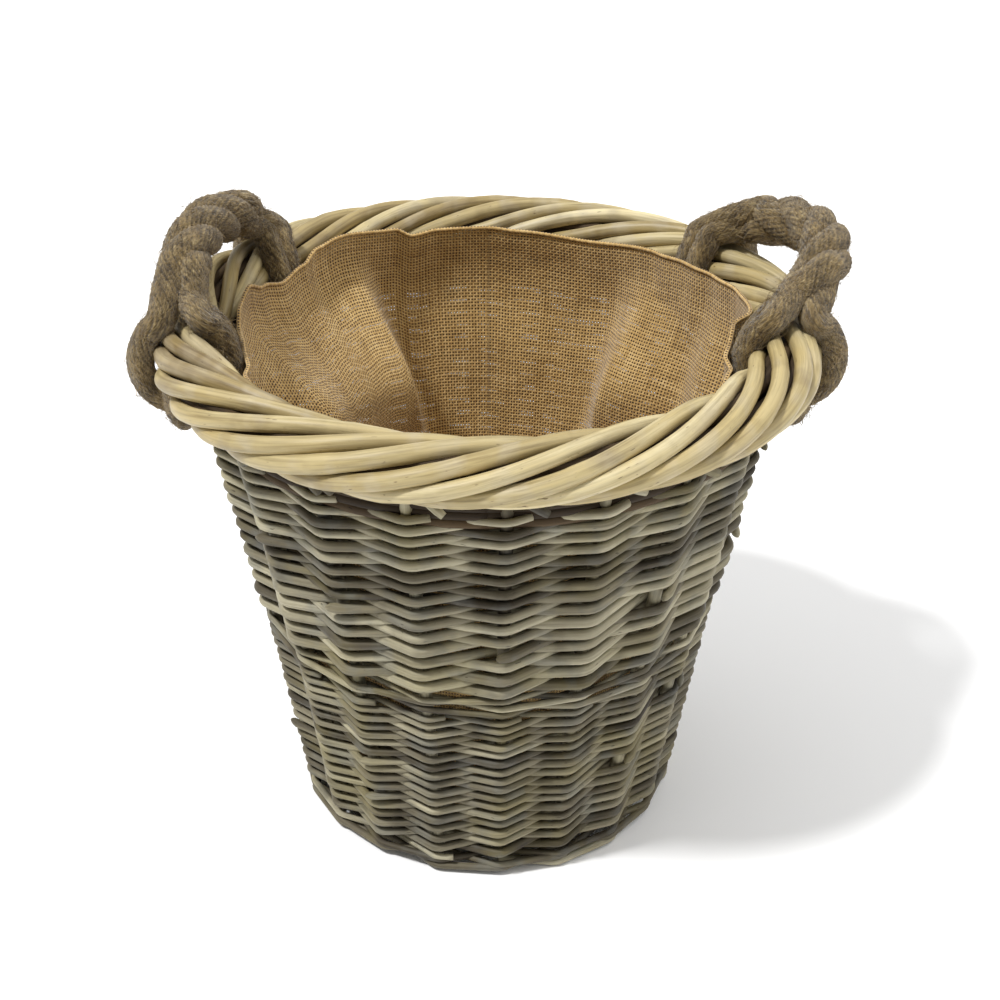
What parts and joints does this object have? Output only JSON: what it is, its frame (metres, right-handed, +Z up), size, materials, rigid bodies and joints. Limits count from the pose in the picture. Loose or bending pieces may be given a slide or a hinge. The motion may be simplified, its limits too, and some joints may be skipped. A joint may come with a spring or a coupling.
{
  "type": "wicker log basket",
  "caption": "Tapered round willow log basket with a thick twisted border, rope loop handles and a hessian lining.",
  "frame": {"origin": "on the floor at the middle of the foot ring", "axes": "+Z up through the mouth; +X to the right-hand handle; -Y is the front"},
  "size_m": [0.4527, 0.428, 0.4133],
  "materials": {
    "body_willow": "matt, weathered grey-olive",
    "border_willow": "satin, pale buff",
    "stake_willow": "matt, weathered",
    "hessian": "coarse open weave",
    "rope": "hairy dark jute"
  },
  "bodies": {
    "basket": {"foot_wale": "body_willow", "lower_siding": "body_willow", "waist_wale": "body_willow", "upper_siding": "body_willow", "top_wale": "body_willow", "rolled_border": "border_willow", "hessian_liner": "hessian", "base_weave": "body_willow", "side_stake_01": "stake_willow", "side_stake_02": "stake_willow", "side_stake_03": "stake_willow", "side_stake_04": "stake_willow", "side_stake_05": "stake_willow", "side_stake_06": "stake_willow", "side_stake_07": "stake_willow", "side_stake_08": "stake_willow", "side_stake_09": "stake_willow", "side_stake_10": "stake_willow", "side_stake_11": "stake_willow", "side_stake_12": "stake_willow", "side_stake_13": "stake_willow", "side_stake_14": "stake_willow", "side_stake_15": "stake_willow", "side_stake_16": "stake_willow", "side_stake_17": "stake_willow", "side_stake_18": "stake_willow", "side_stake_19": "stake_willow", "side_stake_20": "stake_willow", "base_stick_1": "stake_willow", "base_stick_2": "stake_willow", "base_stick_3": "stake_willow", "base_stick_4": "stake_willow", "base_stick_5": "stake_willow", "left_front_eye": "rope", "left_back_eye": "rope", "right_front_eye": "rope", "right_back_eye": "rope"},
    "left_handle": {"left_grip": "rope"},
    "right_handle": {"right_grip": "rope"}
  },
  "joints": [
    {"name": "left_handle_flop", "type": "hinge", "parent": "basket", "child": "left_handle", "pos_m": [-0.16862, 0.03661, 0.3755], "axis": [-0.2122, -0.9772, 0], "range_deg": [-62, 16]},
    {"name": "right_handle_flop", "type": "hinge", "parent": "basket", "child": "right_handle", "pos_m": [0.17353, 0.03373, 0.3755], "axis": [-0.1908, 0.9816, 0], "range_deg": [-94, 3]}
  ]
}
